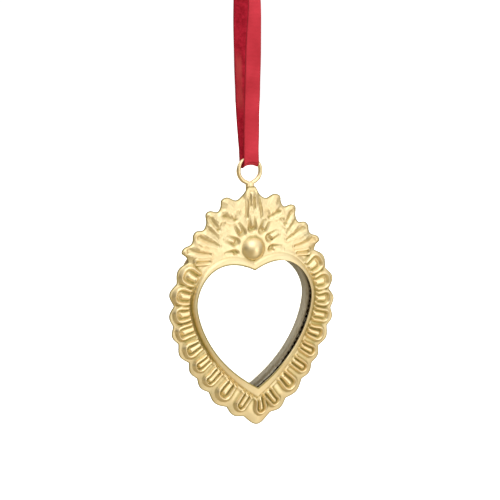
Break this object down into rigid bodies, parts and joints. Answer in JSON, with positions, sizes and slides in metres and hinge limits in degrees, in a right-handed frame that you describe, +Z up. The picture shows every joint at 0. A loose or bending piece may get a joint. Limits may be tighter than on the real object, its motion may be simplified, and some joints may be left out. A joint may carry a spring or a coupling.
{
  "type": "hanging heart ornament",
  "caption": "Hanging ornament: pressed gilt sheet with toothed crown and scalloped edge round a heart-shaped mirror, with a wire eye and a ribbon loop.",
  "frame": {"origin": "the seat of the hook: the crotch of the ribbon loop, right under its knot", "axes": "+Z up along the hanging ribbon, +X to the right of the front, the mirrored front faces -Y"},
  "size_m": [0.0768, 0.0134, 0.2215],
  "materials": {
    "gilt_sheet": "satin gold, brighter on the ridges, darker in the grooves",
    "mirror": "silvered glass, clear and flat",
    "card": "grey card",
    "back_sheet": "plain dull gold",
    "gilt_wire": "satin gold wire",
    "velvet": "red velvet, paler matt back"
  },
  "bodies": {
    "hanger": {"ribbon_knot": "velvet"},
    "loop": {"ribbon": "velvet"},
    "ornament": {"front_plate": "gilt_sheet", "mirror_glass": "mirror", "backing_card": "card", "back_plate": "back_sheet", "hanging_eye": "gilt_wire"}
  },
  "joints": [
    {"name": "ribbon_twist", "type": "hinge", "parent": "hanger", "child": "loop", "pos_m": [0, 0, 0], "axis": [0, 0, 1], "range_deg": [-90, 90]},
    {"name": "ornament_swing", "type": "hinge", "parent": "loop", "child": "ornament", "pos_m": [0, 0.0009, -0.084], "axis": [1, 0, 0], "range_deg": [-120, 120]}
  ]
}
